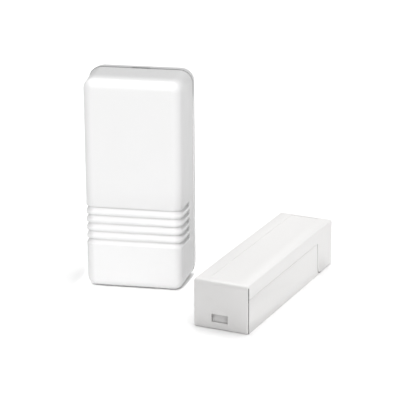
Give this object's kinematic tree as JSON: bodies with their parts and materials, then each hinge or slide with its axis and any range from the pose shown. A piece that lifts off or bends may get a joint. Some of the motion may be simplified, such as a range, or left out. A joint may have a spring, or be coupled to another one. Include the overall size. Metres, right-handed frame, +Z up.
{
  "type": "wireless door contact sensor",
  "caption": "Upright door contact transmitter with wrap-round grip grooves and a lift-off cover, beside its long boxed magnet unit.",
  "frame": {"origin": "bottom centre of the box round both units, on the surface they stand on", "axes": "+Z up along the transmitter, its back face looks to +Y and its ribbed front to -Y, +X runs from the transmitter to the magnet unit"},
  "size_m": [0.0851, 0.0786, 0.078],
  "materials": {
    "cover_plastic": "fine satin moulded white",
    "base_plastic": "satin moulded white, slightly greyer",
    "board_laminate": "green solder mask over glass laminate",
    "screw_steel": "zinc plated",
    "nickel_plate": "bright nickel",
    "black_plastic": "black moulded",
    "cell_can": "plated can with a plain sleeve",
    "reed_glass": "clear, faintly green",
    "copper_wire": "bare copper",
    "plunger_plastic": "smooth white",
    "terminal_plastic": "green moulded",
    "aluminium_can": "satin drawn",
    "magnet_ferrite": "matt ground ferrite"
  },
  "bodies": {
    "transmitter": {"sensor_base": "base_plastic", "circuit_board": "board_laminate", "board_screw_left": "screw_steel", "board_screw_right": "screw_steel", "battery_cradle": "black_plastic", "cell_positive_contact": "nickel_plate", "cell_negative_spring": "nickel_plate", "reed_switch_glass": "reed_glass", "reed_blade_lower": "nickel_plate", "reed_blade_upper": "nickel_plate", "processor_chip": "black_plastic", "crystal_can": "aluminium_can", "electrolytic_capacitor": "aluminium_can", "radio_chip": "black_plastic", "antenna_wire": "copper_wire", "tamper_switch_body": "black_plastic", "terminal_block": "terminal_plastic", "terminal_screw_left": "screw_steel", "terminal_screw_right": "screw_steel"},
    "transmitter_cover": {"sensor_cover": "cover_plastic"},
    "cell": {"lithium_cell": "cell_can"},
    "tamper_button": {"tamper_plunger": "plunger_plastic"},
    "magnet_unit": {"magnet_base": "base_plastic", "bar_magnet": "magnet_ferrite"},
    "magnet_unit_cover": {"magnet_cover": "cover_plastic"}
  },
  "joints": [
    {"name": "cover_pull", "type": "slide", "parent": "transmitter", "child": "transmitter_cover", "axis": [0, -1, 0], "range_m": [0, 0.04]},
    {"name": "cell_lift", "type": "slide", "parent": "transmitter", "child": "cell", "axis": [0, -1, 0], "range_m": [0, 0.02]},
    {"name": "tamper_travel", "type": "slide", "parent": "transmitter", "child": "tamper_button", "axis": [0, -1, 0], "range_m": [0, 0.0012]},
    {"name": "door_travel", "type": "slide", "parent": "transmitter", "child": "magnet_unit", "axis": [1, 0, 0], "range_m": [0, 0.06]},
    {"name": "magnet_cover_lift", "type": "slide", "parent": "magnet_unit", "child": "magnet_unit_cover", "axis": [0, 0, 1], "range_m": [0, 0.03]}
  ],
  "couplings": [
    {"joint": "cell_lift", "follows": "cover_pull", "ratio": 0.5},
    {"joint": "tamper_travel", "follows": "cover_pull", "ratio": 0.03}
  ]
}
